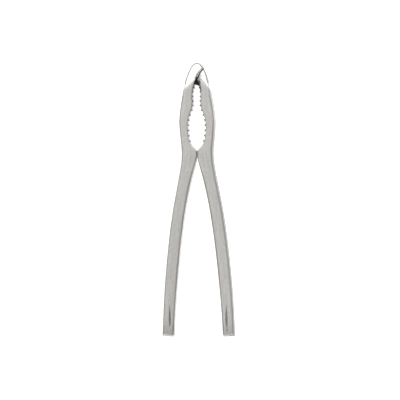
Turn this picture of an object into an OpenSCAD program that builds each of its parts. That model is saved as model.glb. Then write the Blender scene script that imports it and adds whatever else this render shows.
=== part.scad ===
// Two-lever nutcracker, closed, lying on its back.
// +Y points to the domed tip, +X to the right arm, +Z out of the front face.
// The origin is under the middle of the tool, on the surface it rests on.

/* [Overall] */
// Length from the domed tip to the handle ends
tool_len = 190; // [160:1:220]
// Thickness at the jaws
jaw_t = 10; // [9.5:0.5:12]
// Thickness at the handle ends
end_t = 6.8; // [5:0.2:8]

/* [Hinge] */
// Diameter of the hinge pin
pin_d = 3; // [2.4:0.1:3]
// Thickness of the tongue between the two cheeks
tongue_t = 3.6; // [2.6:0.2:4]
// Radial clearance of the pin in the tongue
pin_clearance = 0.05; // [0.02:0.01:0.1]
// Largest opening angle
open_angle = 45; // [20:1:45]

/* [Jaws] */
// Height of the teeth
tooth_h = 1.3; // [0.5:0.1:1.3]
// Thickness of the toothed band
tooth_band = 8; // [5:0.2:8]

/* [Handles] */
// Depth of the teardrop flute near each handle end
flute_depth = 0.35; // [0.1:0.05:0.6]
// Width of the teardrop flute
flute_w = 1.5; // [0.8:0.1:2.5]

/* [Hidden] */
$fn = 96;

steel = "#b9b8b3";
bright_steel = "#e2e3e4";

// Plan sizes below are for a tool of this length, and follow the real length.
drawn_len = 190;
plan_scale = tool_len / drawn_len;
mid_z = jaw_t / 2;
// Reach of the cutting shapes, past anything they cut
far = 60;

// The nose is an ogive: half width = nose_w * (distance from the tip / nose_len) ^ nose_power.
nose_len = 14.4;
nose_w = 8.57;
nose_power = 0.45;
// [distance from the tip, half width] along the outer edge of an arm
outer_edge = [
    [14.4, 8.57], [20, 9.75], [27, 10.95], [34, 11.98], [40, 12.53], [46, 12.3], [54, 11.55],
    [62, 10.95], [69, 11.35], [77, 12.65], [88, 14.8], [102, 17.4], [123, 20.4], [151, 23.25],
    [172, 24.6], [190, 25.35]];
// [distance from the tip, half gap] along the inner edge, from the hinge to the handle end
inner_edge = [
    [11.4, 0.12], [15.8, 1.9], [21.4, 2.85], [28.5, 2.8], [32, 3.4], [36, 4.9], [41, 6.05],
    [45.5, 6.26], [51, 5.85], [55, 4.95], [58, 3.25], [60, 1.2], [61.4, 0.12], [64.2, 0.12],
    [67, 0.65], [72, 1.85], [78.6, 3.56], [88, 5.6], [102, 8.25], [123, 11.2], [151, 14.1],
    [172, 15.8], [190, 16.75]];
neck_gap = 0.12;
// Bevels that dome the head, front and back: [[x, distance from the tip] of a point where
// the bevel starts, direction it falls in, fall per millimetre]
bevels = [[[-2.54, 13.4], 132, 0.3], [[2.37, 9.2], 39.5, 0.42]];
// [distance from the tip, share of the way from the end thickness to the jaw thickness]
thickness_run = [[20, 1], [60, 1], [75, 0.86], [100, 0.55], [140, 0.2], [190, 0]];
// Towards the tip the thickness falls to tip_t along a curve of this length.
tip_t = 3.6;
dome_len = 20;
dome_power = 2.6;
// Handle ends: their front and back bevels, and how much higher the outer corner lies
end_bevel = 1.7;
end_slant = 0.8;

// Teeth; their pitch grows slightly downwards, and the first ones are lower.
first_tooth = -2;
last_tooth = 9;
tooth_start = 23.5;
tooth_pitch = 3.1;
tooth_growth = 0.035;
tooth_root = 1.5;
first_share = 0.6;
share_growth = 0.08;

// Marks near the handle ends. The flute's outline is a sine arch, drawn downwards by flute_lean
// and filled out by flute_point.
flute_top = 166.5;
flute_len = 17;
flute_x = 19.7;
flute_lean = 1.5;
flute_point = 0.8;
dimple_at = [20.1, 185.5];
dimple_d = 1.1;

// Hinge, in [x, distance from the tip]
pivot = [-0.8, 6.4];
seam_centre = [14, 13.9];
seam_r = 13.65;
seam_gap = 0.15;
head_end = 11.4;
boss_r = 3.6;
slot_gap = 0.2;
side_gap = 0.06;
boss_relief_r = 4.5;
cheek_corner_angle = 25;
relief_margin = 8;
// Recess of the right arm, beside a line from the pivot: level with the tongue, then a ramp up to
// the jaw face; its outer side falls away like the bevels of the head
recess_angle = -50.5;
recess_ramp_start = 5.2;
recess_ramp_rise = 0.335;
recess_fall_start = 1.3;
recess_fall = 0.28;
// Lower left edge of the tongue, and how far right and down its plan runs into the arm
tongue_edge = [[-1.8, 14.4], [-0.9, 15.3], [0.3, 15.7], [2, 16.4]];
tongue_root = [3.3, 16.4];
tongue_shoulder = 0.6;
// Directions from the pivot, in degrees from +X
slot_start = -85;
tongue_start = -75;
tongue_spare = 2;

function place(x, down) = [x * plan_scale, tool_len / 2 - down * plan_scale];

// A smooth curve through stations [position, value].
function slope_at(s, i) = let (a = s[max(i - 1, 0)], b = s[min(i + 1, len(s) - 1)])
    (b[1] - a[1]) / (b[0] - a[0]);
function span_of(s, at, i = 0) =
    (i >= len(s) - 2 || at < s[i + 1][0]) ? i : span_of(s, at, i + 1);
function curve(s, at) = let (i = span_of(s, at), w = s[i + 1][0] - s[i][0], t = (at - s[i][0]) / w)
    (2 * t ^ 3 - 3 * t ^ 2 + 1) * s[i][1] + (t ^ 3 - 2 * t ^ 2 + t) * w * slope_at(s, i)
    + (3 * t ^ 2 - 2 * t ^ 3) * s[i + 1][1] + (t ^ 3 - t ^ 2) * w * slope_at(s, i + 1);

function outer(down) = down < nose_len ? nose_w * (down / nose_len) ^ nose_power
    : curve(outer_edge, down);
function inner(down) = max(neck_gap, curve(inner_edge, down));

// How many teeth lie above this point, with the cusps at whole numbers.
function tooth_number(down) =
    (sqrt(tooth_pitch ^ 2 + 4 * tooth_growth * (down - tooth_start)) - tooth_pitch) / (2 * tooth_growth);
function tooth_position(n) = tooth_start + tooth_pitch * n + tooth_growth * n ^ 2;
function tooth_share(n) = min(1, first_share + share_growth * (n - first_tooth));
function toothed(down) = let (n = tooth_number(down))
    max(neck_gap, inner(down) - tooth_h * tooth_share(n) * (1 - abs(sin(180 * n))));

// Half thickness at a distance from the tip.
function half_t(down) = down < dome_len
    ? tip_t / 2 + (jaw_t - tip_t) / 2 * sqrt(1 - (1 - down / dome_len) ^ dome_power)
    : (end_t + (jaw_t - end_t) * min(1, curve(thickness_run, down))) / 2;

function steps(from, to, n) = [for (i = [0:n]) from + (to - from) * i / n];
function reversed(s) = [for (i = [len(s) - 1:-1:0]) s[i]];

// Distances from the tip at which the outlines are drawn
nose_steps = [for (t = steps(0, 1, 16)) head_end * t ^ 2];
body_steps = concat(steps(head_end, 80, 60), steps(84, 186, 18), [drawn_len]);
steps_per_tooth = 8;
tooth_steps = steps(tooth_position(first_tooth - 0.5), tooth_position(last_tooth + 0.5),
    steps_per_tooth * (last_tooth - first_tooth + 1));

// One arm from the head downwards, as seen from the front, on the +X side.
module arm_plan() {
    last = len(body_steps) - 1;
    outside = [for (d = body_steps) place(outer(d), d)];
    inside = [for (d = body_steps) place(inner(d), d)];
    cut_outside = place(outer(drawn_len), drawn_len - end_slant);
    polygon(concat([for (i = [0:last - 1]) outside[i]], [cut_outside], reversed(inside)));
}

// The head above the seam's lower end, both sides.
module head_plan() {
    polygon(concat([for (d = nose_steps) place(outer(d), d)],
        [for (d = reversed(nose_steps)) if (d > 0) place(-outer(d), d)]));
}

module tooth_plan() {
    polygon(concat([for (d = tooth_steps) place(inner(d) + tooth_root, d)],
        [for (d = reversed(tooth_steps)) place(toothed(d), d)]));
}

// The space in front of one bevel of the head.
module above_bevel(start, direction, fall) {
    translate(concat(place(start[0], start[1]), [jaw_t]))
        rotate([0, atan(fall), direction])
            translate([-far / 2, -far / 2, 0]) cube([far, far, far]);
}

module both_faces() {
    children();
    translate([0, 0, 2 * mid_z]) mirror([0, 0, 1]) children();
}

// Everything between the front and back surfaces: thick at the jaws, domed to the tip.
module thickness_envelope() {
    difference() {
        side_profile();
        both_faces() for (b = bevels) above_bevel(b[0], b[1], b[2]);
    }
}

module side_profile() {
    stations = concat([for (t = steps(0, 1, 14)) dome_len * t ^ 2], [60], steps(68, 188, 12));
    last = drawn_len - end_bevel;
    front = [for (d = stations) if (d < last) [place(0, d)[1], half_t(d)]];
    end = [[place(0, last)[1], half_t(last)], [place(0, drawn_len)[1], half_t(drawn_len) - end_bevel]];
    profile = concat(front, end);
    translate([far, 0, mid_z]) rotate([90, 0, -90]) linear_extrude(2 * far)
        polygon(concat([for (p = profile) [-p[0], p[1]]], [for (p = reversed(profile)) [-p[0], -p[1]]]));
}

module disc(centre, r) {
    translate(concat(place(centre[0], centre[1]), [-1])) cylinder(r = r * plan_scale, h = jaw_t + 2);
}

// Everything above the floor of the recess; x runs along the recess, z up from the tongue's face.
module recess_space() {
    translate([-boss_relief_r, far, 0]) rotate([90, 0, 0]) linear_extrude(far)
        polygon([[0, 0], [boss_relief_r + recess_ramp_start, 0],
                 [far, (far - boss_relief_r - recess_ramp_start) * recess_ramp_rise], [0, far]]);
}

module recess() {
    p = place(pivot[0], pivot[1]);
    translate([p[0], p[1], mid_z + tongue_t / 2]) rotate(recess_angle) {
        recess_space();
        translate([0, recess_fall_start, 0]) rotate([-atan(recess_fall), 0, 0]) recess_space();
    }
}

module slab(half_height) {
    translate([0, 0, mid_z - half_height]) linear_extrude(2 * half_height) children();
}

// A wedge of directions around the pivot, in degrees from +X.
module wedge(from, to) {
    p = place(pivot[0], pivot[1]);
    polygon(concat([p], [for (a = steps(from, to, 6)) p + far * [cos(a), sin(a)]]));
}

// Plan of the tongue below the pin boss; grow widens it to the left and downwards.
module tongue_plan(grow) {
    left = place(pivot[0] - boss_r - grow, pivot[1] + tongue_shoulder);
    polygon(concat([left], [for (p = tongue_edge) place(p[0] - grow, p[1] + grow)],
        [place(tongue_root[0], tongue_root[1] + grow), place(tongue_root[0], pivot[1]),
            place(pivot[0], pivot[1])]));
}

module teeth() { slab(tooth_band / 2) tooth_plan(); }

// Slender teardrop groove in the front face, widest near its lower end.
module flute() {
    half = [for (t = steps(0, 1, 20))
        [flute_w / 2 * sin(180 * t ^ flute_lean) ^ flute_point, flute_top + t * flute_len]];
    translate([0, 0, mid_z + half_t(flute_top + flute_len) - flute_depth]) linear_extrude(jaw_t)
        polygon(concat([for (p = half) place(flute_x + p[0], p[1])],
            [for (p = reversed(half)) place(flute_x - p[0], p[1])]));
}

// Small round dimple below the flute of the right arm.
module dimple() {
    translate(concat(place(dimple_at[0], dimple_at[1]), [mid_z + half_t(dimple_at[1]) - flute_depth]))
        cylinder(d = dimple_d, h = jaw_t);
}

module pin_shape(r) {
    translate(concat(place(pivot[0], pivot[1]), [-1])) cylinder(r = r, h = jaw_t + 2);
}

// Full-thickness part of an arm, without its hinge half.
module arm_blank() {
    linear_extrude(jaw_t) arm_plan();
    teeth();
}

module left_arm() {
    color(steel) difference() {
        intersection() {
            union() {
                mirror([1, 0, 0]) arm_blank();
                difference() {
                    linear_extrude(jaw_t) head_plan();
                    disc(seam_centre, seam_r);
                }
            }
            thickness_envelope();
        }
        slab(tongue_t / 2 + side_gap) wedge(slot_start, cheek_corner_angle + open_angle + relief_margin);
        slab(tongue_t / 2 + side_gap) tongue_plan(slot_gap);
        intersection() {
            disc(pivot, boss_r + slot_gap);
            slab(tongue_t / 2 + side_gap) square(2 * tool_len, center = true);
        }
        pin_shape(pin_d / 2);
        mirror([1, 0, 0]) flute();
    }
}

module right_arm() {
    color(steel) difference() {
        intersection() {
            union() {
                difference() {
                    union() {
                        arm_blank();
                        intersection() {
                            linear_extrude(jaw_t) head_plan();
                            disc(seam_centre, seam_r - seam_gap);
                        }
                    }
                    disc(pivot, boss_relief_r);
                }
                slab(tongue_t / 2) tongue_plan(0);
                intersection() {
                    slab(tongue_t / 2) head_plan();
                    linear_extrude(jaw_t) wedge(tongue_start, cheek_corner_angle + tongue_spare);
                }
                intersection() {
                    disc(pivot, boss_r);
                    slab(tongue_t / 2) square(2 * tool_len, center = true);
                }
            }
            thickness_envelope();
        }
        both_faces() recess();
        pin_shape(pin_d / 2 + pin_clearance);
        flute();
        dimple();
    }
}

module hinge_pin() {
    color(bright_steel) intersection() {
        pin_shape(pin_d / 2);
        thickness_envelope();
    }
}

left_arm();
right_arm();
hinge_pin();
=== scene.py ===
import math

import bpy
import numpy as np
from mathutils import Matrix, Vector


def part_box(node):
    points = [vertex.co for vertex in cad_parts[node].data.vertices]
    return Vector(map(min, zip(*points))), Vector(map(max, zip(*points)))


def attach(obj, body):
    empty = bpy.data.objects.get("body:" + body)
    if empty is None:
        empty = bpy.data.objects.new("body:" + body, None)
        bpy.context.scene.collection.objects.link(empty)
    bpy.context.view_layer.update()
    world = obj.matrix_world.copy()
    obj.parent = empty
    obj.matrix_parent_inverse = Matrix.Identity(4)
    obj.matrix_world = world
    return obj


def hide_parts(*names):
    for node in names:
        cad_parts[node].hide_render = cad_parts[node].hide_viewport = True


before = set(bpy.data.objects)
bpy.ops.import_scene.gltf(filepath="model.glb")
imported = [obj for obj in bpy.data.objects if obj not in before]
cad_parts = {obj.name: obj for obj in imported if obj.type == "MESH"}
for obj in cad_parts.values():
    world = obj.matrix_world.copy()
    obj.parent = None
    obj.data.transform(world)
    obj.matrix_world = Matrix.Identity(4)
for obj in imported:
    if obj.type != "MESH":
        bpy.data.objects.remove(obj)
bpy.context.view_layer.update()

# The plan is drawn in millimetres: x across, "down" from the domed tip towards the handle
# ends, z from the middle plane. The frame gives the tip, the middle plane and the scale.
MM = 0.001
NODE_BOXES = np.array([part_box(node) for node in ("left_arm", "right_arm")]) / MM
LOW, HIGH = NODE_BOXES[:, 0].min(0), NODE_BOXES[:, 1].max(0)
DRAWN_LENGTH = 190.0
SIZE = (HIGH[1] - LOW[1]) / DRAWN_LENGTH
MIDDLE = (LOW[2] + HIGH[2]) / 2
JAW_HALF = (HIGH[2] - LOW[2]) / 2
LEFT_BODY, RIGHT_BODY = "left", "right"


# ---------------------------------------------------------------- camera, made early

VIEW_WIDTH = 277.1 * MM             # what the picture spans at the tool
VIEW_TURN = math.radians(7)         # the camera stands a little to the right of the front
VIEW_ROLL = math.radians(-0.376)    # and is turned a little about its own axis
VIEW_DISTANCE = 1.5
AIM = Vector((1.46, -0.09, 5.0)) * MM
SENSOR = 36.0


def make_camera():
    camera = bpy.data.objects.new("camera", bpy.data.cameras.new("camera"))
    camera.data.sensor_width = SENSOR
    camera.data.lens = SENSOR * VIEW_DISTANCE / VIEW_WIDTH
    camera.data.clip_start, camera.data.clip_end = 0.05, 20
    back = Vector((math.sin(VIEW_TURN), 0, math.cos(VIEW_TURN)))
    right = Vector((0, 1, 0)).cross(back).normalized()
    up = back.cross(right)
    turn = Matrix((right, up, back)).transposed() @ Matrix.Rotation(VIEW_ROLL, 3, "Z")
    camera.matrix_world = Matrix.Translation(AIM + back * VIEW_DISTANCE) @ turn.to_4x4()
    bpy.context.scene.collection.objects.link(camera)
    bpy.context.scene.camera = camera


make_camera()


# ---------------------------------------------------------------- plan curves

CURVE_STEPS = 12000


def stations(points):
    """A smooth curve through (position, value) stations, as a function of arrays."""
    at, value = np.array(points, float).T
    order, last = np.arange(len(at)), len(at) - 1
    before, after = np.maximum(order - 1, 0), np.minimum(order + 1, last)
    slope = (value[after] - value[before]) / (at[after] - at[before])
    fine = np.linspace(at[0], at[-1], CURVE_STEPS)
    i = np.clip(np.searchsorted(at, fine, side="right") - 1, 0, last - 1)
    w = at[i + 1] - at[i]
    t = (fine - at[i]) / w
    drawn = ((2 * t**3 - 3 * t**2 + 1) * value[i] + (t**3 - 2 * t**2 + t) * w * slope[i]
             + (3 * t**2 - 2 * t**3) * value[i + 1] + (t**3 - t**2) * w * slope[i + 1])
    return lambda where: np.interp(where, fine, drawn)


# Outlines as half widths: the nose is a power curve, the arms run through stations.
NOSE_LEN, NOSE_W, NOSE_POWER = 14.4, 8.57, 0.45
HEAD_END = 11.4      # the opening begins here
HEAD_LEAN = 0.7      # above it the gap closes this fast and runs on past the middle
NECK_GAP = 0.12      # half the gap where the arms touch
outer_edge = stations([
    (NOSE_LEN, NOSE_W), (20, 9.75), (27, 10.95), (34, 11.98), (40, 12.53), (46, 12.3),
    (54, 11.55), (62, 10.95), (69, 11.35), (77, 12.65), (88, 14.8), (102, 17.4), (123, 20.4),
    (151, 23.25), (172, 24.6), (DRAWN_LENGTH, 25.35)])
inner_edge = stations([
    (HEAD_END, NECK_GAP), (15.8, 1.9), (21.4, 2.85), (28.5, 2.8), (32, 3.4), (36, 4.9),
    (41, 6.05), (45.5, 6.26), (51, 5.85), (55, 4.95), (58, 3.25), (60, 1.2), (61.4, NECK_GAP),
    (64.2, NECK_GAP), (67, 0.65), (72, 1.85), (78.6, 3.56), (88, 5.6), (102, 8.25),
    (123, 11.2), (151, 14.1), (172, 15.8), (DRAWN_LENGTH, 16.75)])

# Half thicknesses: a dome from the tip to the jaws, then a slow taper to the handle ends
TIP_HALF, END_HALF = 1.8, 3.4
DOME_LEN, DOME_POWER = 20, 2.6
thickness_run = stations([
    (DOME_LEN, 1), (60, 1), (75, 0.86), (100, 0.55), (140, 0.2), (DRAWN_LENGTH, 0)])

# Teeth: cusps at whole tooth numbers, and the pitch grows slightly downwards.
TOOTH_START, TOOTH_PITCH, TOOTH_GROWTH, TOOTH_H = 23.5, 3.1, 0.035, 1.3
FIRST_TOOTH, LAST_TOOTH = -2, 9
FIRST_SHARE, SHARE_GROWTH = 0.6, 0.08    # the first teeth are lower
BAND_HALF, BAND_FADE = 3.4, 1.0          # how far they reach to each side of the middle plane
CUSP_SOFT = 0.015

# Hinge, in (x, down), and its clearances
PIVOT = (-0.8, 6.4)
PIN_R, PIN_HEAD_R = 1.49, 1.8
PRESS_GAP, RUNNING_GAP = 0.01, 0.05
SEAM_CENTRE, SEAM_R, SEAM_GAP = (14.0, 13.9), 13.65, 0.25
BOSS_R, BOSS_RELIEF_R = 3.6, 4.5
TONGUE_HALF, SLOT_HALF, SLOT_GAP = 1.8, 1.88, 0.22
CHEEK_ANGLE, OPEN_ANGLE, RELIEF_MARGIN = 25, 45, 8
SLOT_START, TONGUE_START, TONGUE_SPARE = -85, -75, 2
TONGUE_EDGE = [(-1.8, 14.4), (-0.9, 15.3), (0.3, 15.7), (2, 16.4)]
TONGUE_ROOT, TONGUE_SHOULDER = (3.3, 16.4), 0.6
# Recess of the right arm, beside a line from the pivot: level, then a ramp up to the jaw face;
# its outer side falls away
RECESS_ANGLE, RAMP_START, RAMP_RISE, FALL_START, FALL = -50.5, 5.2, 0.335, 1.3, 0.28
# Bevels that dome the head: where each starts, the direction it falls in, its fall
BEVELS = [((-2.54, 13.4), 132, 0.30), ((2.37, 9.2), 39.5, 0.42)]

# Handle ends: the end faces slope, and at END_X they are DRAWN_LENGTH down
END_SLOPE, END_X, END_BEVEL = 0.096, 16.85, 1.7
FLUTE_TOP, FLUTE_LEN, FLUTE_X, FLUTE_HALF, FLUTE_DEPTH = 166.5, 17.0, 19.7, 0.75, 0.45
FLUTE_LEAN, FLUTE_POINT = 1.5, 0.8
DIMPLE_AT, DIMPLE_R = (20.1, 185.5), 0.6

# Radii of the edges
EDGE_R = 1.8                # rolled outer edges of the arms
HEAD_R = 1.5                # of the head, less where the slot leaves thin cheeks
CHEEK_MARGIN = 0.1
INNER_R = 0.7               # of the jaws, towards the opening
CREASE_R = 0.4              # between the bevels of the head
SIDE_R = 0.6                # at the handles' corners
RAMP_R = 1.3                # where the recess ends
SMALL_R = 0.3
SLOT_EDGE_R, CHEEK_BORE_R, TONGUE_BORE_R, TONGUE_JOIN_R = 0.15, 0.05, 0.1, 0.2
RIGHT_SEAM_R = 0.35
LEFT_SEAM_R = (0.9, 2.3, 1.4)              # at the tip, beside the pivot, at the opening
LEFT_SEAM_SPANS = (4, 8), (10.5, 12.5)     # where it goes from one to the next
# Down the tool: where the head's radius turns into that of the arms, and that of the jaws'
# inner edges into that of the handles
TO_ARM_EDGE, TO_HANDLE_EDGE = (12, 22), (66, 90)

LEAN, LEAN_SPAN = 0.05, (90, 130)      # the faces of the handles fall towards each other
CROWN, CROWN_SPAN = 0.16, (8, 22)      # the faces bulge this much in the middle
CROWN_HALF = 5                         # as measured this far beside it


def smooth(value, start, end):
    """0 at start and beyond it, 1 at end and beyond it; end may be the smaller one."""
    t = np.clip((value - start) / (end - start), 0, 1)
    return t * t * (3 - 2 * t)


def outer(down):
    nose = NOSE_W * (np.maximum(down, 0) / NOSE_LEN) ** NOSE_POWER
    return np.where(down < NOSE_LEN, nose, outer_edge(down))


def inner(down):
    """Half gap between the arms; above the opening it runs on past the middle."""
    above = NECK_GAP - HEAD_LEAN * (HEAD_END - down)
    return np.where(down < HEAD_END, above, np.maximum(NECK_GAP, inner_edge(down)))


def middle_line(down):
    return (outer(down) + np.maximum(inner(down), 0)) / 2


def tooth_number(down):
    root = TOOTH_PITCH**2 + 4 * TOOTH_GROWTH * (down - TOOTH_START)
    return (np.sqrt(np.maximum(root, 0)) - TOOTH_PITCH) / (2 * TOOTH_GROWTH)


def tooth(down):
    """1 at a cusp, 0 in the round valleys and beyond the last teeth."""
    n = tooth_number(down)
    wave = np.sqrt(np.sin(math.pi * n) ** 2 + CUSP_SOFT)
    top, bottom = math.sqrt(1 + CUSP_SOFT), math.sqrt(CUSP_SOFT)
    share = np.minimum(1, FIRST_SHARE + SHARE_GROWTH * (n - FIRST_TOOTH))
    held = (n > FIRST_TOOTH - 0.5) & (n < LAST_TOOTH + 0.5)
    return np.where(held, share * (top - wave) / (top - bottom), 0)


def half_thickness(down):
    rise = np.sqrt(1 - np.clip(1 - down / DOME_LEN, 0, 1) ** DOME_POWER)
    nose = TIP_HALF + (JAW_HALF - TIP_HALF) * rise
    arm = END_HALF + (JAW_HALF - END_HALF) * np.minimum(1, thickness_run(down))
    return np.where(down < DOME_LEN, nose, arm)


# ---------------------------------------------------------------- solids as distances
# Each function takes arrays of x, down, z and gives the distance outside the shape.

FAR = 1e3


def both(a, b, r):
    """Inside a and inside b, with the edge between them rounded to radius r."""
    return np.minimum(np.maximum(a, b), -r) + np.hypot(np.maximum(a + r, 0), np.maximum(b + r, 0))


def either(a, b, r):
    return -both(-a, -b, r)


def without(a, b, r):
    return both(a, -b, r)


def convex(points, x, down):
    """A convex outline, given clockwise as seen from the front."""
    out = np.full(np.shape(x), -FAR)
    for (x0, d0), (x1, d1) in zip(points, points[1:] + points[:1]):
        length = math.hypot(x1 - x0, d1 - d0)
        out = np.maximum(out, ((x - x0) * (d1 - d0) - (down - d0) * (x1 - x0)) / length)
    return out


def from_pivot(x, down):
    return np.hypot(x - PIVOT[0], down - PIVOT[1])


def beyond_ray(x, down, degrees):
    """Distance to the anticlockwise side of the ray that leaves the pivot at this angle."""
    a = math.radians(degrees)
    return math.cos(a) * (PIVOT[1] - down) - math.sin(a) * (x - PIVOT[0])


def wedge(x, down, first, last):
    return np.maximum(-beyond_ray(x, down, first), beyond_ray(x, down, last))


def slant_length(curve, down):
    """Length along the curve for 1 mm down."""
    step = 0.05
    slope = (curve(down + step) - curve(down - step)) / (2 * step)
    return np.sqrt(1 + slope**2)


def outside(x, down):
    """Distance beyond the outer outline of both arms together."""
    across = np.abs(x)
    body = (across - outer(down)) / slant_length(outer_edge, np.maximum(down, NOSE_LEN))
    ratio = across / NOSE_W
    steep = NOSE_LEN / (NOSE_POWER * NOSE_W) * ratio ** (1 / NOSE_POWER - 1)
    nose = (NOSE_LEN * ratio ** (1 / NOSE_POWER) - down) / np.sqrt(1 + steep**2)
    t = smooth(down, NOSE_LEN - 6, NOSE_LEN - 1)
    return nose * (1 - t) + body * t


def opening(x, down, z):
    """Distance into the gap between the arms, seen from the right arm, teeth included."""
    band = 1 - smooth(np.abs(z), BAND_HALF, BAND_HALF + BAND_FADE)
    least = np.where(down < HEAD_END, -FAR, NECK_GAP)
    edge = np.maximum(inner(down) - TOOTH_H * tooth(down) * band, least)
    return (edge - x) / slant_length(inner_edge, np.maximum(down, HEAD_END))


def flute(x, down):
    """Depth of the teardrop groove near the handle end."""
    t = np.clip((down - FLUTE_TOP) / FLUTE_LEN, 0, 1)
    width = FLUTE_HALF * np.sin(math.pi * t**FLUTE_LEAN) ** FLUTE_POINT + 1e-3
    shape = np.clip(1 - ((x - FLUTE_X) / width) ** 2, 0, 1)
    return FLUTE_DEPTH * shape * np.sqrt(width / FLUTE_HALF)


def dimple(x, down):
    r = np.hypot(x - DIMPLE_AT[0], down - DIMPLE_AT[1]) / DIMPLE_R
    return FLUTE_DEPTH * np.clip(1 - r**2, 0, 1)


def right_marks(x, down):
    return flute(x, down) + dimple(x, down)


def bevel_falls(x, down):
    """How far each bevel of the head has fallen below the jaw faces."""
    for (x0, d0), degrees, fall in BEVELS:
        a = math.radians(degrees)
        yield fall * ((x - x0) * math.cos(a) + (d0 - down) * math.sin(a)), fall


def between_faces(x, down, z, marks):
    """Distance beyond the front and back faces. x is that of the arm mirrored to the right."""
    beside = np.abs(x) - middle_line(down)
    crown = CROWN * (beside / CROWN_HALF) ** 2 * smooth(down, *CROWN_SPAN)
    lean = -LEAN * beside * smooth(down, *LEAN_SPAN)
    return np.abs(z) - half_thickness(down) + crown + lean + np.where(z > 0, marks, 0)


def head_bevels(x, down, z, out):
    for fallen, fall in bevel_falls(x, down):
        out = both(out, (np.abs(z) - JAW_HALF + fallen) / math.hypot(1, fall), CREASE_R)
    return out


def recess(x, down):
    """Level of the recess's floor, and how far a point lies beside its lower left edge."""
    a = math.radians(RECESS_ANGLE)
    across, up = x - PIVOT[0], PIVOT[1] - down
    along = across * math.cos(a) + up * math.sin(a)
    beside = up * math.cos(a) - across * math.sin(a)
    rise = RAMP_RISE * np.maximum(0, along - RAMP_START)
    return TONGUE_HALF + rise - FALL * np.maximum(0, beside - FALL_START), beside


def left_faces(x, down, z):
    return head_bevels(x, down, z, between_faces(-x, down, z, 0))


def tongue_plan(x, down, grow):
    """Outline of the tongue below the pivot, grown on its left and below."""
    left = (PIVOT[0] - BOSS_R - grow, PIVOT[1] + TONGUE_SHOULDER)
    edge = [(px - grow, pd + grow) for px, pd in TONGUE_EDGE]
    points = [left, PIVOT, (TONGUE_ROOT[0], PIVOT[1]), (TONGUE_ROOT[0], TONGUE_ROOT[1] + grow)]
    return convex(points + edge[::-1], x, down)


def head_rounding(x, down):
    """Radius of the head's outer edges."""
    height = half_thickness(down)
    for fallen, fall in bevel_falls(x, down):
        height = np.minimum(height, JAW_HALF - fallen)
    thin = np.clip(height - SLOT_HALF - CHEEK_MARGIN, SMALL_R, HEAD_R)
    return HEAD_R + (thin - HEAD_R) * smooth(x, -1, 1)


def arm(x, down, z, mirrored, seam, seam_r, marks, recessed=None):
    """Full-thickness shape of one arm; seam is the distance beyond its side of the seam, and
    recessed is what recess() gives, or None."""
    own = -x if mirrored else x
    faces = head_bevels(x, down, z, between_faces(own, down, z, marks(own, down)))
    edge_r = head_rounding(x, down)
    edge_r = edge_r + (EDGE_R - edge_r) * smooth(down, *TO_ARM_EDGE)
    if recessed is not None:
        level, beside = recessed
        faces = without(faces, both(-beside, level - np.abs(z), SMALL_R), RAMP_R)
    end = (own - END_X) * END_SLOPE + (down - DRAWN_LENGTH) * math.sqrt(1 - END_SLOPE**2)
    side = both(outside(x, down), end, SIDE_R)
    out = both(faces, side, edge_r)
    bevel = (end + np.abs(z) - half_thickness(down) + END_BEVEL) / math.sqrt(2)
    out = both(out, bevel, SMALL_R)
    inner_r = INNER_R + (EDGE_R - INNER_R) * smooth(down, *TO_HANDLE_EDGE)
    blend = smooth(down, HEAD_END - 1, HEAD_END + 4)
    edge_r = seam_r * (1 - blend) + inner_r * blend
    return both(out, both(seam, opening(own, down, z), SMALL_R), edge_r)


def seam_distance(x, down, r):
    """Distance outside the seam's circle, which runs straight down below its centre."""
    circle = np.hypot(x - SEAM_CENTRE[0], down - SEAM_CENTRE[1]) - r
    return np.where(down < SEAM_CENTRE[1], circle, SEAM_CENTRE[0] - r - x)


def hinge_boss(x, down, grow):
    """The tongue's outline and the round boss about the pin."""
    return np.minimum(tongue_plan(x, down, grow), from_pivot(x, down) - BOSS_R - grow)


def left_arm(x, down, z):
    rolled = LEFT_SEAM_R[0]
    for start, end, span in zip(LEFT_SEAM_R, LEFT_SEAM_R[1:], LEFT_SEAM_SPANS):
        rolled = rolled + (end - start) * smooth(down, *span)
    out = arm(x, down, z, True, -seam_distance(x, down, SEAM_R), rolled, flute)
    sweep = wedge(x, down, SLOT_START, CHEEK_ANGLE + OPEN_ANGLE + RELIEF_MARGIN)
    slot = np.minimum(sweep, hinge_boss(x, down, SLOT_GAP))
    out = without(out, np.maximum(slot, np.abs(z) - SLOT_HALF), SLOT_EDGE_R)
    return without(out, from_pivot(x, down) - PIN_R - PRESS_GAP, CHEEK_BORE_R)


def right_arm(x, down, z):
    level, beside = recess(x, down)
    seam = seam_distance(x, down, SEAM_R - SEAM_GAP)
    out = arm(x, down, z, False, seam, RIGHT_SEAM_R, right_marks, (level, beside))
    relief = np.maximum(from_pivot(x, down) - BOSS_RELIEF_R, TONGUE_HALF - np.abs(z))
    out = without(out, relief, SMALL_R)
    floor = np.abs(z) - np.minimum(level, TONGUE_HALF)
    head = both(outside(x, down), floor, 0.8 * np.clip(level, 0.1, 1.5))
    head = np.maximum(head, wedge(x, down, TONGUE_START, CHEEK_ANGLE + TONGUE_SPARE))
    hidden = both(hinge_boss(x, down, 0), floor, SMALL_R)
    out = either(out, np.minimum(head, hidden), TONGUE_JOIN_R)
    return without(out, from_pivot(x, down) - PIN_R - RUNNING_GAP, TONGUE_BORE_R)


# ---------------------------------------------------------------- meshing

def corners_of_edges():
    """The 12 edges of a grid cell, as pairs of corners."""
    for axis in range(3):
        for p in (0, 1):
            for q in (0, 1):
                start = [p, q]
                start.insert(axis, 0)
                end = list(start)
                end[axis] = 1
                yield start, end


def gradient(shape, points):
    step = 0.01
    out = np.empty_like(points)
    for axis in range(3):
        shift = np.zeros(3)
        shift[axis] = step
        out[:, axis] = (shape(*(points + shift).T) - shape(*(points - shift).T)) / (2 * step)
    return out


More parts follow.
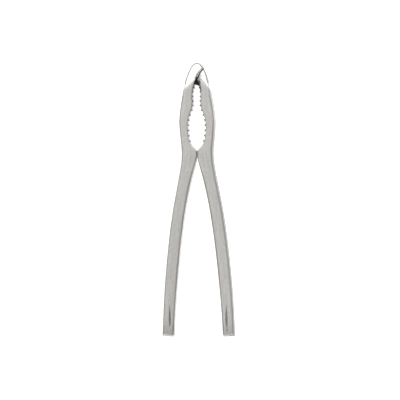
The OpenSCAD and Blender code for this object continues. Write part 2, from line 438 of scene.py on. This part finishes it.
def settle(shape, points, rounds):
    """Moves points onto the surface, in steps of limited length."""
    least_square, longest = 0.05, 0.2
    for _ in range(rounds):
        g = gradient(shape, points)
        square = np.maximum((g * g).sum(1), least_square)
        step = shape(*points.T)[:, None] * g / square[:, None]
        length = np.linalg.norm(step, axis=1)[:, None]
        points = points - step * np.minimum(1, longest / np.maximum(length, 1e-9))
    return points


def relax(points, quads, share):
    """Moves each point this share of the way to the mean of its neighbours."""
    total, count = np.zeros_like(points), np.zeros(len(points))
    for k in range(4):
        a, b = quads[:, k], quads[:, (k + 1) % 4]
        np.add.at(total, a, points[b])
        np.add.at(total, b, points[a])
        np.add.at(count, a, 1)
        np.add.at(count, b, 1)
    return points + share * (total / count[:, None] - points)


def surface_net(shape, xs, downs, zs):
    """Points and four-sided faces of the surface where shape is 0."""
    value = np.empty((len(xs), len(downs), len(zs)), np.float32)
    slab = 40        # rows worked out at a time, which saves memory
    for first in range(0, len(downs), slab):
        part = slice(first, first + slab)
        value[:, part] = shape(*np.meshgrid(xs, downs[part], zs, indexing="ij"))
    inside = value < 0
    nx, nd, nz = (size - 1 for size in value.shape)
    filled = sum(inside[i:nx + i, j:nd + j, k:nz + k].astype(np.int8)
                 for i in (0, 1) for j in (0, 1) for k in (0, 1))
    cells = np.array(np.nonzero((filled > 0) & (filled < 8)))
    number = np.full(filled.shape, -1)
    number[tuple(cells)] = np.arange(cells.shape[1])
    lines = (xs, downs, zs)
    total, count = np.zeros((cells.shape[1], 3)), np.zeros(cells.shape[1])
    for start, end in corners_of_edges():
        a, b = cells + np.array(start)[:, None], cells + np.array(end)[:, None]
        va, vb = value[tuple(a)], value[tuple(b)]
        cut = (va < 0) != (vb < 0)
        t = np.where(cut, va / np.where(cut, va - vb, 1), 0)
        for axis in range(3):
            pa, pb = lines[axis][a[axis]], lines[axis][b[axis]]
            total[:, axis] += np.where(cut, pa + t * (pb - pa), 0)
        count += cut
    points = total / count[:, None]
    quads = []
    for axis in range(3):
        u, v = [n for n in range(3) if n != axis]
        here = [slice(None)] * 3
        there = [slice(None)] * 3
        here[axis], there[axis] = slice(0, -1), slice(1, None)
        crossed = inside[tuple(here)] != inside[tuple(there)]
        at = np.array(np.nonzero(crossed))
        within = (at[u] > 0) & (at[v] > 0) & (at[u] < filled.shape[u]) & (at[v] < filled.shape[v])
        at = at[:, within]
        around = []
        for du, dv in ((1, 1), (0, 1), (0, 0), (1, 0)):
            cell = at.copy()
            cell[u] -= du
            cell[v] -= dv
            around.append(number[tuple(cell)])
        ring = np.array(around).T
        flip = inside[tuple(at)] == (axis == 1)
        ring[flip] = ring[flip][:, ::-1]
        quads.append(ring)
    return points, np.concatenate(quads)


def spaced(start, end, step):
    return np.linspace(start, end, max(2, round((end - start) / step) + 1))


def build(shape, xs, downs, zs):
    """Points and faces of that shape, evened out."""
    points, quads = surface_net(shape, xs, downs, zs)
    points = settle(shape, points, 3)
    for _ in range(3):
        points = settle(shape, relax(points, quads, 0.5), 2)
    return points, quads


# Levels of the pin's head over the face of the arm
HEAD_PROUD, HEAD_ROLL, HEAD_EDGE, SHANK_TOP = 0.012, -0.03, -0.12, -0.2
HEAD_ROLL_W = 0.06


def turned_pin(around, along, rings):
    """The pin: a turned shank whose ends follow the faces of the left arm."""
    turn = np.arange(around) * 2 * math.pi / around
    flat = np.linspace(0, 1, rings)[1:] * (PIN_HEAD_R - HEAD_ROLL_W)
    # Each ring has a radius, a share of the face's height and a level over the face.
    top = [(r, 1.0, HEAD_PROUD) for r in flat]
    top += [(PIN_HEAD_R, 1.0, HEAD_ROLL), (PIN_HEAD_R, 1.0, HEAD_EDGE), (PIN_R, 1.0, SHANK_TOP)]
    rows = top + [(PIN_R, share, SHANK_TOP) for share in np.linspace(1, -1, along)[1:-1]]
    rows += [(r, -share, level) for r, share, level in reversed(top)]
    points, height = [(*PIVOT, HEAD_PROUD)], [1.0]
    for r, share, level in rows:
        points += [(PIVOT[0] + r * math.cos(t), PIVOT[1] - r * math.sin(t), level) for t in turn]
        height += [share] * around
    points, height = np.array(points + [(*PIVOT, HEAD_PROUD)]), np.array(height + [-1.0])
    level, face = points[:, 2].copy(), np.full(len(points), JAW_HALF)
    for _ in range(8):
        face = face - left_faces(points[:, 0], points[:, 1], face)
    points[:, 2] = (face + level) * height
    steps = [(i, (i + 1) % around) for i in range(around)]
    quads = []
    for k in range(len(rows) - 1):
        here, there = 1 + k * around, 1 + (k + 1) * around
        quads += [(here + i, there + i, there + j, here + j) for i, j in steps]
    last, base = len(points) - 1, len(points) - 1 - around
    caps = [(0, 1 + i, 1 + j) for i, j in steps] + [(last, base + j, base + i) for i, j in steps]
    return points, quads, caps


def add_piece(name, points, faces, masks):
    """A mesh object, with the masks stored on its points for the materials."""
    x, down, z = points.T
    mesh = bpy.data.meshes.new(name)
    place = np.stack([x * SIZE, HIGH[1] - down * SIZE, z + MIDDLE], 1) * MM
    mesh.from_pydata(place.tolist(), [], faces)
    mesh.polygons.foreach_set("use_smooth", np.ones(len(faces), bool))
    for label, values in masks(x, down, z).items():
        kind, key = ("FLOAT_VECTOR", "vector") if values.ndim == 2 else ("FLOAT", "value")
        layer = mesh.attributes.new(label, kind, "POINT")
        layer.data.foreach_set(key, values.astype(np.float32).ravel())
    mesh.validate()
    mesh.update()
    piece = bpy.data.objects.new(name, mesh)
    bpy.context.scene.collection.objects.link(piece)
    return piece


# ---------------------------------------------------------------- masks for the materials

# Stretches down the tool: start, full, fading, end
STREAK_SPAN = (178, 182, 186.5, 187.5)         # between the right flute and its dimple
# Spans of painted shade: the corners at the top of the opening, the foot of the tongue, beside the
# seam
LEFT_CORNER = (11, 13, 14.6, 15.6)       # top of the opening
RIGHT_CORNER = (11, 13, 19.1, 20.6)
TONGUE_FOOT = (10.6, 11.2, 17.1, 17.5)
SEAM_SHADE = (8, 9.5, 13, 15)
LEFT_WEAR_AND_LIGHT, RIGHT_WEAR_AND_LIGHT = (18, 20, 58, 62), (28, 36, 58, 62)     # polished by use, and painted lighter there as light on the teeth
# Fades: 0 at the first, 1 at the second
SEAM_FADE, SLOT_FADE, RIM_FADE = (13.5, 12.5), (17, 16), (16, 13)
CAST_FADE, BAND_FADE_IN, END_FADE = (12, 16), (38, 50), (176, 188)
# The sides stay as cast from these depths below the faces: outer sides, and all inner sides
LEFT_CAST, RIGHT_CAST, INNER_CAST = 1.0, 0.35, 1.6


def stretch(down, start, full, fading, end):
    return smooth(down, start, full) * smooth(down, end, fading)


def polished(x, down):
    """1 on the polished dome of the head and in the recess, 0 on the brushed faces."""
    fallen = np.maximum(*[f for f, _ in bevel_falls(x, down)])
    return smooth(np.maximum(fallen, recess(x, down)[1] * 0.3 + 0.05), -0.05, 0.25)


def painted_shade_in_marks(own, down, z, dimpled):
    """Painted shade in the groove and the dimple of the front face, and a dark strip between them.
    """
    dark = 0.5 * smooth(flute(own, down) + (dimple(own, down) if dimpled else 0), 0.02, 0.4)
    if dimpled:
        dark_strip = smooth(np.abs(own - DIMPLE_AT[0]), 1, 0.2) * stretch(down, *STREAK_SPAN)
        dark = np.maximum(dark, 0.4 * dark_strip)
    return np.where(z > 0, dark, 0)


def left_painted_shade(x, down, z):
    """Painted shade on the wall of the seam, in the slot and at the top of the opening."""
    wall = smooth(seam_distance(x, down, SEAM_R), 0.4, 0) * smooth(down, *SEAM_FADE)
    slot = smooth(np.abs(z) - SLOT_HALF, 0.25, 0.05) * smooth(down, *SLOT_FADE)
    slot = slot * smooth(outside(x, down), -0.3, -1)
    corner = smooth(inner(down) + 0.9 + x, 0, 0.8) * stretch(down, *LEFT_CORNER)
    return np.maximum.reduce([0.85 * wall, 0.9 * slot, 0.4 * corner])


def right_painted_shade(x, down, z):
    """Painted shade beside the seam, on the tongue, at the top of the opening and along the outer
    edge.
    """
    seam = seam_distance(x, down, SEAM_R)
    low = smooth(np.abs(z) - TONGUE_HALF, 0.35, 0.1)
    by_seam = smooth(seam, -1.1, -0.2) * low * smooth(down, *SEAM_FADE)
    width = 1.4 + 0.9 * smooth(down, 15.5, 13.5)
    corner = smooth(inner(down) + width - x, 0, 0.8) * stretch(down, *RIGHT_CORNER)
    foot = low * stretch(down, *TONGUE_FOOT) * smooth(TONGUE_ROOT[0] - x, 0, 0.4)
    beside = smooth(-recess(x, down)[1], 0, 0.6)
    shade = smooth(seam, -3.4, -0.9) * beside * stretch(down, *SEAM_SHADE)
    depth = half_thickness(down) - np.abs(z)
    # painted shade on the right arm's outer side, the side that faces away from the light
    band = smooth(depth, 0.15, 0.85) * smooth(down, *BAND_FADE_IN)
    band = band * smooth(x - middle_line(down), 0, 1)
    return np.maximum.reduce([0.9 * by_seam, 0.85 * corner, foot, 0.55 * shade, 0.32 * band])


def arm_masks(mirrored):
    """Where an arm is polished, darkened by painted shade and towards the handle ends, or rough as
    cast, and its brushing's grain.
    """
    def masks(x, down, z):
        own = -x if mirrored else x
        middle = middle_line(down)
        # painted shade along the outline of the head, darker on the left: it darkens the colour,
        # gives the cast tone and takes off the polish
        rim = smooth(outside(x, down), -1.5, -0.6) * smooth(down, *RIM_FADE)
        dark = np.maximum.reduce([
            painted_shade_in_marks(own, down, z, not mirrored),
            left_painted_shade(x, down, z) if mirrored else right_painted_shade(x, down, z),
            rim * (0.3 - 0.2 * smooth(x, 0, 2)),
            # darker towards the handle ends
            (0.22 if mirrored else 0.16) * smooth(down, *END_FADE)])
        # polished by use along the jaws' inner edges; the lighter colour this brings is also
        # painted light over the teeth
        worn_and_lit = 0.6 * smooth(inner(down) + 0.1 - own, 0, 0.5)
        worn_and_lit = worn_and_lit * stretch(down, *(LEFT_WEAR_AND_LIGHT if mirrored else RIGHT_WEAR_AND_LIGHT))
        start = np.where(own > middle, LEFT_CAST if mirrored else RIGHT_CAST, INNER_CAST)
        depth = half_thickness(down) - np.abs(z)
        cast = smooth(depth - start, 0, 1) * smooth(down, *CAST_FADE)
        return {"grain": np.stack([own - middle, down, z], 1),
                "polish": np.maximum(polished(x, down) * (1 - rim), worn_and_lit),
                "dark": dark, "cast": np.maximum(cast, rim)}
    return masks


def pin_masks(x, down, z):
    return {"grain": np.stack([x, down, z], 1), "polish": np.ones(len(x)),
            "dark": np.zeros(len(x)), "cast": np.zeros(len(x))}


# ---------------------------------------------------------------- materials

class Nodes:
    """Short calls for building a node tree."""

    def __init__(self, tree):
        self.tree = tree
        self.shader = tree.nodes.get("Principled BSDF")

    def add(self, kind, settings=None, **inputs):
        node = self.tree.nodes.new(kind)
        for key, value in (settings or {}).items():
            setattr(node, key, value)
        for key, value in inputs.items():
            self.set(node.inputs[key.replace("_", " ")], value)
        return node

    def set(self, socket, value):
        if isinstance(value, bpy.types.NodeSocket):
            self.tree.links.new(value, socket)
        else:
            socket.default_value = value

    def attribute(self, name, output="Fac"):
        return self.add("ShaderNodeAttribute", {"attribute_name": name}).outputs[output]

    def math(self, operation, a, b=0.0, clamp=False):
        node = self.add("ShaderNodeMath", {"operation": operation, "use_clamp": clamp})
        self.set(node.inputs[0], a)
        self.set(node.inputs[1], b)
        return node.outputs[0]

    def ramp(self, value, low, high, to_low, to_high):
        node = self.add("ShaderNodeMapRange", Value=value)
        for key, number in (("From Min", low), ("From Max", high),
                            ("To Min", to_low), ("To Max", to_high)):
            node.inputs[key].default_value = number
        return node.outputs[0]

    def mix(self, share, a, b):
        node = self.add("ShaderNodeMix", {"data_type": "RGBA"})
        for index, value in ((0, share), (6, a), (7, b)):
            self.set(node.inputs[index], value)
        return node.outputs[2]

    def mix_values(self, share, a, b):
        node = self.add("ShaderNodeMix", {"data_type": "FLOAT"})
        for index, value in ((0, share), (2, a), (3, b)):
            self.set(node.inputs[index], value)
        return node.outputs[0]

    def noise(self, vector, scale, detail=2.0, rough=0.5):
        node = self.add("ShaderNodeTexNoise", Vector=vector, Scale=scale, Detail=detail,
                        Roughness=rough)
        return node.outputs[0]

    def stretched(self, vector, scale):
        node = self.add("ShaderNodeMapping", Vector=vector)
        node.inputs["Scale"].default_value = scale
        return node.outputs[0]


def new_material(name):
    material = bpy.data.materials.new(name)
    material.use_nodes = True
    return material, Nodes(material.node_tree)


DARK_STEEL, LIGHT_STEEL = (0.58, 0.575, 0.555, 1), (0.78, 0.775, 0.755, 1)
# On the next line the second colour is the sides' as-cast tone, also used as painted shade along
# the head's rim.
WARM_STEEL, CAST_AND_RIM_SHADE_STEEL = (0.69, 0.645, 0.605, 1), (0.50, 0.495, 0.48, 1)
# On the next line the second colour is that of the painted shade, which the dark mask mixes in.
POLISHED_STEEL, PAINTED_SHADE_TINT = (0.86, 0.86, 0.86, 1), (0.03, 0.03, 0.032, 1)


def steel(name, brushed_rough, polished_rough):
    """Stainless steel, brushed lengthwise; polished where the mask says, darkened with painted
    shade where the dark mask says.
    """
    material, n = new_material(name)
    surface = n.shader.inputs
    grain, polish, dark = n.attribute("grain", "Vector"), n.attribute("polish"), n.attribute("dark")
    fine = n.noise(n.stretched(grain, (6.0, 0.10, 6.0)), 1.0, 3.0, 0.6)
    coarse = n.noise(n.stretched(grain, (1.3, 0.05, 1.3)), 1.0, 2.0)
    patch = n.noise(n.stretched(grain, (0.25, 0.08, 0.25)), 1.0, 3.0, 0.6)
    mottle = n.noise(n.stretched(grain, (0.9, 0.6, 0.9)), 1.0, 3.0, 0.7)
    streaks = n.math("ADD", n.math("MULTIPLY", fine, 0.6), n.math("MULTIPLY", coarse, 0.4))
    shade = n.math("ADD", n.math("MULTIPLY", streaks, 0.6), n.math("MULTIPLY", mottle, 0.4))

    tint = n.mix(n.ramp(shade, 0.38, 0.62, 0.0, 1.0), DARK_STEEL, LIGHT_STEEL)
    tint = n.mix(n.ramp(patch, 0.52, 0.68, 0.0, 0.6), tint, WARM_STEEL)
    # the cast mask gives the sides' as-cast tone, and painted shade along the head's rim
    tint = n.mix(n.attribute("cast"), tint, CAST_AND_RIM_SHADE_STEEL)
    tint = n.mix(polish, tint, POLISHED_STEEL)
    # the dark mask mixes in painted shade
    n.set(surface["Base Color"], n.mix(dark, tint, PAINTED_SHADE_TINT))
    surface["Metallic"].default_value = 1.0

    brushed = n.math("ADD", n.ramp(streaks, 0.3, 0.7, brushed_rough - 0.05, brushed_rough + 0.07),
                     n.ramp(patch, 0.3, 0.7, -0.03, 0.04))
    smoothed = n.ramp(patch, 0.3, 0.7, polished_rough - 0.03, polished_rough + 0.05)
    n.set(surface["Roughness"], n.mix_values(polish, brushed, smoothed))
    bump = n.add("ShaderNodeBump", Height=streaks, Distance=0.00004)
    n.set(bump.inputs["Strength"], n.ramp(polish, 0.0, 1.0, 0.5, 0.04))
    n.set(surface["Normal"], bump.outputs[0])
    return material


# ---------------------------------------------------------------- the pieces

# Steps of the grid that the arms are meshed on: finest at the head, fine at the teeth and the
# handle ends, coarse along the handles
FINEST, FINE, COARSE, ACROSS = 0.16, 0.26, 0.9, 0.23
HEAD, HEAD_AND_JAWS, HANDLES = 16.0, 62.0, 181.0        # each down to here
MARGIN_ACROSS, MARGIN_ALONG, MARGIN_UP = 0.6, 0.6, 0.45
LEFT_ARM_REACH, RIGHT_ARM_REACH = 6.0, -5.2     # how far past the middle they go


def arm_grid(side):
    reach = HIGH[0] / SIZE + MARGIN_ACROSS
    left, right = (-reach, LEFT_ARM_REACH) if side < 0 else (RIGHT_ARM_REACH, reach)
    downs = np.concatenate([
        np.arange(-MARGIN_ALONG, HEAD, FINEST), np.arange(HEAD, HEAD_AND_JAWS, FINE),
        np.arange(HEAD_AND_JAWS, HANDLES, COARSE),
        np.arange(HANDLES, DRAWN_LENGTH + MARGIN_ALONG + 0.2, FINE)])
    high = JAW_HALF + MARGIN_UP
    return spaced(left, right, ACROSS), downs, spaced(-high, high, ACROSS)


arm_steel = steel("arm_steel", 0.36, 0.16)
pin_steel = steel("pin_steel", 0.30, 0.14)

points, quads = build(left_arm, *arm_grid(-1))
left_piece = add_piece("left_arm_cast", points, quads.tolist(), arm_masks(True))
points, quads = build(right_arm, *arm_grid(1))
right_piece = add_piece("right_arm_cast", points, quads.tolist(), arm_masks(False))
points, quads, caps = turned_pin(96, 24, 6)
pin_piece = add_piece("hinge_pin_ground", points, quads + caps, pin_masks)

for piece, body, node, finish, slot in (
        (left_piece, LEFT_BODY, "left_arm", arm_steel, "arm_steel"),
        (right_piece, RIGHT_BODY, "right_arm", arm_steel, "arm_steel"),
        (pin_piece, LEFT_BODY, "hinge_pin", pin_steel, "pin_steel")):
    piece.data.materials.append(finish)
    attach(piece, body)
    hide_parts(node)


# ---------------------------------------------------------------- floor and light

def make_floor():
    """A sheet of white paper that glows a little, so that it stays white under a soft light."""
    half = 4.0
    corners = [(-half, -half, 0), (half, -half, 0), (half, half, 0), (-half, half, 0)]
    mesh = bpy.data.meshes.new("floor")
    mesh.from_pydata(corners, [], [(0, 1, 2, 3)])
    floor = bpy.data.objects.new("floor", mesh)
    material, n = new_material("floor_paper")
    surface = n.shader.inputs
    surface["Roughness"].default_value = 0.9
    surface["Specular IOR Level"].default_value = 0.1
    surface["Emission Color"].default_value = (1, 1, 1, 1)
    surface["Emission Strength"].default_value = 0.85
    fibres = n.noise(n.add("ShaderNodeTexCoord").outputs["Object"], 30.0)
    n.set(surface["Base Color"], n.mix(fibres, (0.80, 0.80, 0.80, 1), (0.84, 0.84, 0.84, 1)))
    mesh.materials.append(material)
    bpy.context.scene.collection.objects.link(floor)


def make_world():
    """A soft studio: grey above, darker low down and on the right, bright panel behind the tip."""
    world = bpy.data.worlds.new("studio")
    world.use_nodes = True
    n = Nodes(world.node_tree)
    direction = n.add("ShaderNodeTexCoord").outputs["Generated"]
    x, y, z = n.add("ShaderNodeSeparateXYZ", Vector=direction).outputs
    from_below = n.ramp(z, 0.15, 0.8, 0.28, 0.68)
    to_right = n.ramp(x, -0.35, 0.6, 1.15, 0.6)
    far_left = n.ramp(x, -0.6, -0.9, 1.0, 0.35)
    sky = n.math("MULTIPLY", n.math("MULTIPLY", from_below, to_right), far_left)
    panel = n.math("MULTIPLY", n.ramp(y, 0.26, 0.36, 0.0, 1.0), n.ramp(y, 0.93, 0.86, 0.0, 1.0))
    panel = n.math("MULTIPLY", panel, n.ramp(z, 0.3, 0.6, 0.0, 0.95))
    in_front = n.ramp(y, -0.55, -0.9, 0.0, 0.40)
    background = world.node_tree.nodes["Background"]
    n.set(background.inputs["Strength"], n.math("ADD", sky, n.math("ADD", panel, in_front)))
    background.inputs["Color"].default_value = (1, 0.995, 0.985, 1)
    bpy.context.scene.world = world


make_floor()
make_world()

view = bpy.context.scene.view_settings
view.view_transform = "Standard"
view.look = "None"

bpy.context.view_layer.update()
